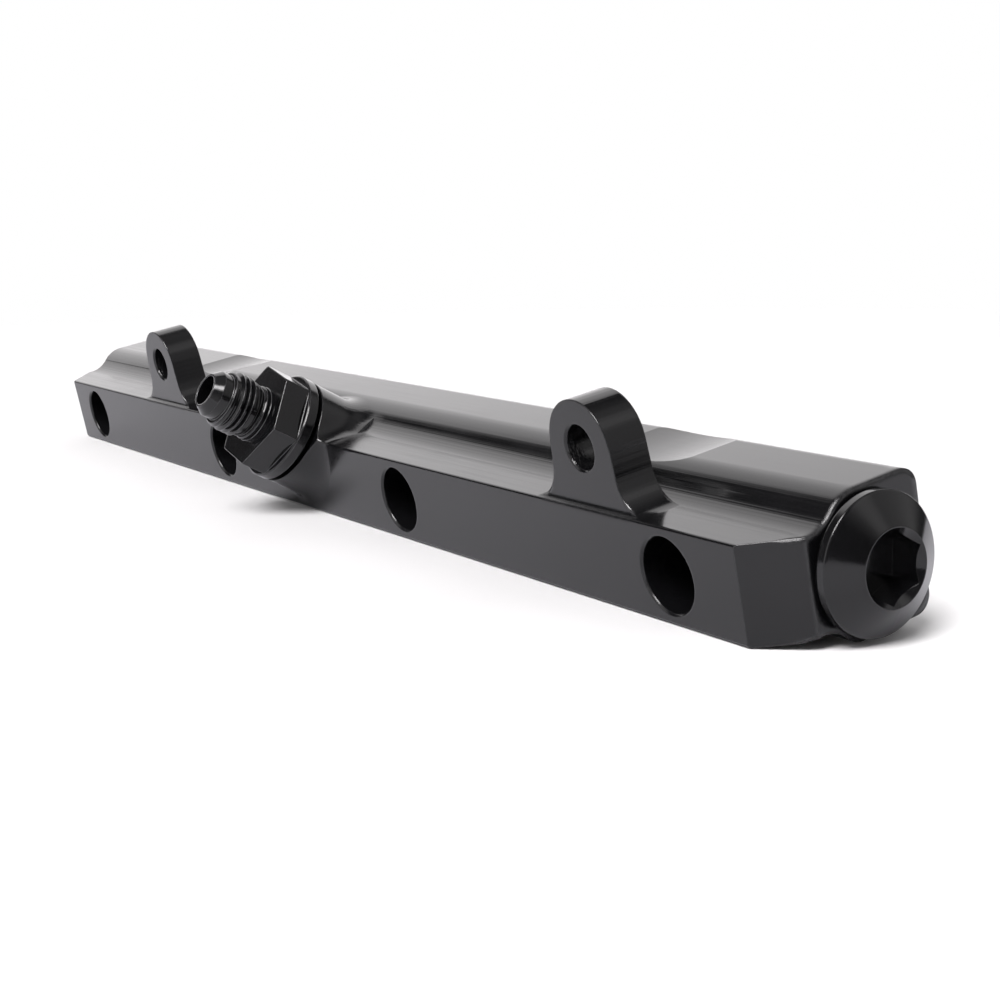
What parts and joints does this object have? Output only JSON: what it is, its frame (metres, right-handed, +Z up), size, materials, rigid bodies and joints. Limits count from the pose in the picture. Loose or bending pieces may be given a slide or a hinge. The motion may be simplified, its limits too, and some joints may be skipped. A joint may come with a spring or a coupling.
{
  "type": "fuel rail",
  "caption": "Machined aluminium fuel rail with injector bores in its front face, two bolt ears, a leaning inlet boss with a flare hose fitting, and a hex-socket plug closing one end.",
  "frame": {"origin": "middle of the mouth of the first injector bore, the one nearest the blind end, on the front face", "axes": "+X along the rail towards the end plug, +Y from the front face into the rail, +Z up, from the bores towards the ears"},
  "size_m": [0.3412, 0.0553, 0.0412],
  "materials": {
    "body_anodising": "smooth milled, gloss near-black anodised",
    "plug_anodising": "turned, gloss near-black anodised",
    "fitting_anodising": "turned, gloss near-black anodised",
    "ring_rubber": "smooth moulded rubber"
  },
  "bodies": {
    "root": {"rail_body": "body_anodising", "end_plug": "plug_anodising", "end_plug_o_ring": "ring_rubber", "inlet_fitting": "fitting_anodising", "inlet_o_ring": "ring_rubber"}
  },
  "joints": []
}
